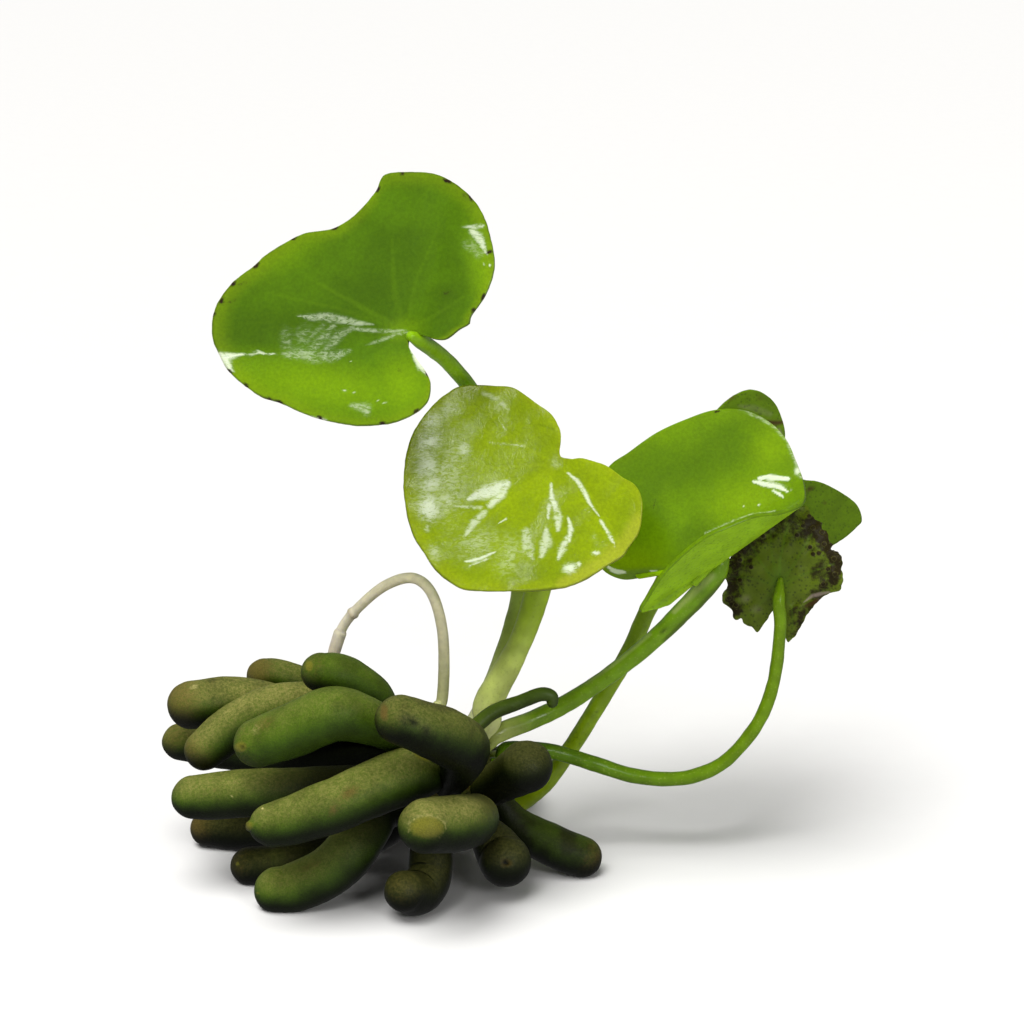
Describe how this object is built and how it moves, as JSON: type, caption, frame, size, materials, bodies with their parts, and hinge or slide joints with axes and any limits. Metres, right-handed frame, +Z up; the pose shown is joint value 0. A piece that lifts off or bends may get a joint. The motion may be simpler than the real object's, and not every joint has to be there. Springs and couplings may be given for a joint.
{
  "type": "banana lily",
  "caption": "Aquatic banana lily standing on a fist of banana-shaped tubers, with heart-shaped leaves on thin curved stalks and a pale looping root.",
  "frame": {"origin": "middle of the bounding box, on the surface that the tubers stand on", "axes": "+Z up, -Y towards the side where most leaves face, +X towards the leaves that reach out to the side"},
  "size_m": [0.0734, 0.0438, 0.0727],
  "materials": {
    "crown_tissue": "matte, rough plant tissue",
    "tuber_skin": "satin, dark green with a mealy grey-olive bloom",
    "young_tuber_skin": "wet dark green",
    "pale_root_skin": "satin cream",
    "stalk_skin": "wet bright green with fine pale dots",
    "leaf_green": "wet gloss, waxy bright green",
    "leaf_yellow_green": "wet gloss, waxy yellow-green",
    "leaf_purple_underside": "satin purple-brown underside with pits"
  },
  "bodies": {
    "root": {"crown": "crown_tissue", "tuber_01": "tuber_skin", "tuber_02": "tuber_skin", "tuber_03": "tuber_skin", "tuber_04": "tuber_skin", "tuber_05": "tuber_skin", "tuber_06": "tuber_skin", "tuber_07": "tuber_skin", "tuber_08": "tuber_skin", "tuber_09": "tuber_skin", "tuber_10": "tuber_skin", "tuber_11": "tuber_skin", "tuber_12": "tuber_skin", "tuber_13": "tuber_skin", "tuber_14": "tuber_skin", "tuber_15": "tuber_skin", "tuber_16": "tuber_skin", "tuber_17": "tuber_skin", "tuber_18": "tuber_skin", "tuber_19": "tuber_skin", "tuber_20": "tuber_skin", "tuber_21": "tuber_skin", "tuber_22": "tuber_skin", "tuber_young": "young_tuber_skin", "root_pale": "pale_root_skin", "stalk_left": "stalk_skin", "stalk_middle": "stalk_skin", "stalk_folded": "stalk_skin", "stalk_hidden": "stalk_skin", "stalk_dark": "stalk_skin", "leaf_left": "leaf_green", "leaf_middle": "leaf_yellow_green", "leaf_folded": "leaf_green", "leaf_hidden": "leaf_green", "leaf_dark": "leaf_purple_underside"}
  },
  "joints": []
}
